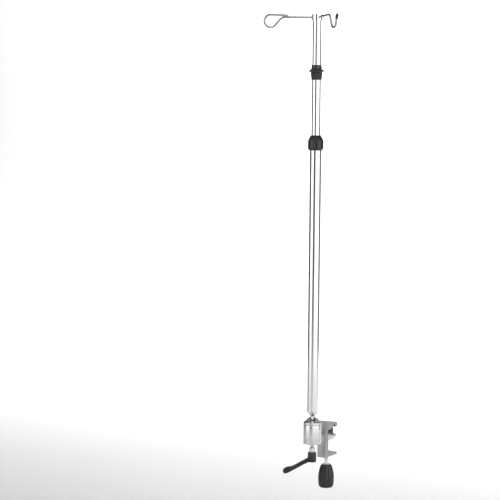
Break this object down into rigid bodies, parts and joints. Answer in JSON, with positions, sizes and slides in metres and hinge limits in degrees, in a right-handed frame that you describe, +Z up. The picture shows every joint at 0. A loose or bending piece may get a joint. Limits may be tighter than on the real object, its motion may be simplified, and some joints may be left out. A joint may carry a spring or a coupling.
{
  "type": "rail-mounted infusion pole",
  "caption": "Telescopic infusion pole with two bag hooks, a lockable ball joint and a screw clamp for a medical equipment rail.",
  "frame": {"origin": "middle of the seat that rests on the rail's top edge", "axes": "+Z up along the pole, X along the rail, -Y towards the user, where the pole stands"},
  "size_m": [0.1748, 0.1611, 1.0475],
  "materials": {
    "satin_steel": "fine-turned stainless steel, satin",
    "tube_steel": "bright polished stainless steel tube",
    "clamp_metal": "bead-blasted, satin",
    "black_plastic": "moulded, fine matt grain",
    "black_rubber": "moulded, matt",
    "plated_steel": "zinc-plated fastener steel",
    "bearing_plastic": "natural acetal",
    "brass_bush": "turned"
  },
  "bodies": {
    "clamp": {"clamp_body": "clamp_metal", "jaw_insert": "black_plastic", "spindle_bush": "brass_bush", "ball_housing": "satin_steel", "housing_boss": "clamp_metal", "boss_screws": "plated_steel", "base_plug": "satin_steel", "pressure_piston": "plated_steel", "disc_springs": "plated_steel", "lower_seat": "bearing_plastic", "upper_seat": "bearing_plastic"},
    "jaw": {"moving_jaw": "satin_steel", "jaw_pin": "plated_steel"},
    "spindle": {"clamp_spindle": "satin_steel", "grip_barrel": "black_plastic", "grip_insert": "brass_bush", "grip_cap": "black_plastic"},
    "cap": {"housing_cap": "satin_steel"},
    "neck": {"neck_bush": "tube_steel"},
    "pole": {"ball_stud": "satin_steel", "cone_foot": "tube_steel", "foot_pin": "plated_steel", "lower_tube": "tube_steel", "threaded_sleeve": "bearing_plastic", "collet": "bearing_plastic"},
    "nut": {"clamp_nut": "black_plastic"},
    "guide": {"guide_bush": "bearing_plastic"},
    "mast": {"upper_tube": "tube_steel", "tube_end_plug": "black_plastic", "stop_ring": "plated_steel", "hook_head": "tube_steel", "head_screw": "plated_steel", "loop_hook": "tube_steel", "open_hook": "tube_steel", "hook_tip": "black_plastic"},
    "collar": {"collar_sleeve": "black_rubber", "collar_cap": "black_plastic", "collar_ring": "black_rubber"},
    "lock": {"lock_bolt": "plated_steel", "lever_insert": "satin_steel", "lever_screw": "plated_steel"},
    "lever": {"lock_lever": "black_plastic", "lever_spring": "plated_steel"}
  },
  "joints": [
    {"name": "jaw_slide", "type": "slide", "parent": "clamp", "child": "jaw", "axis": [0, 0, 1], "range_m": [-0.016, 0.0006]},
    {"name": "spindle_turn", "type": "hinge", "parent": "jaw", "child": "spindle", "pos_m": [0, -0.0157, -0.09], "axis": [0, 0, 1], "range_deg": [-2880.1, 108.1]},
    {"name": "cap_turn", "type": "hinge", "parent": "clamp", "child": "cap", "pos_m": [0, -0.079, 0.007], "axis": [0, 0, 1], "continuous": true},
    {"name": "pole_tilt", "type": "hinge", "parent": "cap", "child": "neck", "pos_m": [0, -0.079, 0.007], "axis": [0.8387, 0.5446, 0], "range_deg": [0, 30]},
    {"name": "pole_turn", "type": "hinge", "parent": "neck", "child": "pole", "pos_m": [0, -0.079, 0.007], "axis": [0, 0, 1], "continuous": true},
    {"name": "nut_turn", "type": "hinge", "parent": "pole", "child": "nut", "pos_m": [0, -0.079, 0.63], "axis": [0, 0, 1], "range_deg": [-180, 0]},
    {"name": "height_slide", "type": "slide", "parent": "pole", "child": "guide", "axis": [0, 0, 1], "range_m": [-0.115, 0.29]},
    {"name": "hooks_turn", "type": "hinge", "parent": "guide", "child": "mast", "pos_m": [0, -0.079, 0.6], "axis": [0, 0, 1], "continuous": true},
    {"name": "collar_slide", "type": "slide", "parent": "mast", "child": "collar", "axis": [0, 0, 1], "range_m": [0, 0.08]},
    {"name": "lock_turn", "type": "hinge", "parent": "clamp", "child": "lock", "pos_m": [0, -0.079, -0.05], "axis": [0, 0, 1], "range_deg": [-60, 30]},
    {"name": "lever_lift", "type": "slide", "parent": "lock", "child": "lever", "axis": [0, 0, -1], "range_m": [0, 0.0034], "stiffness_N_per_m": 1500, "springref_m": -0.001, "deforming": ["lever_spring"]}
  ],
  "couplings": [
    {"joint": "spindle_turn", "follows": "jaw_slide", "rad_per_m": 3141.6}
  ]
}
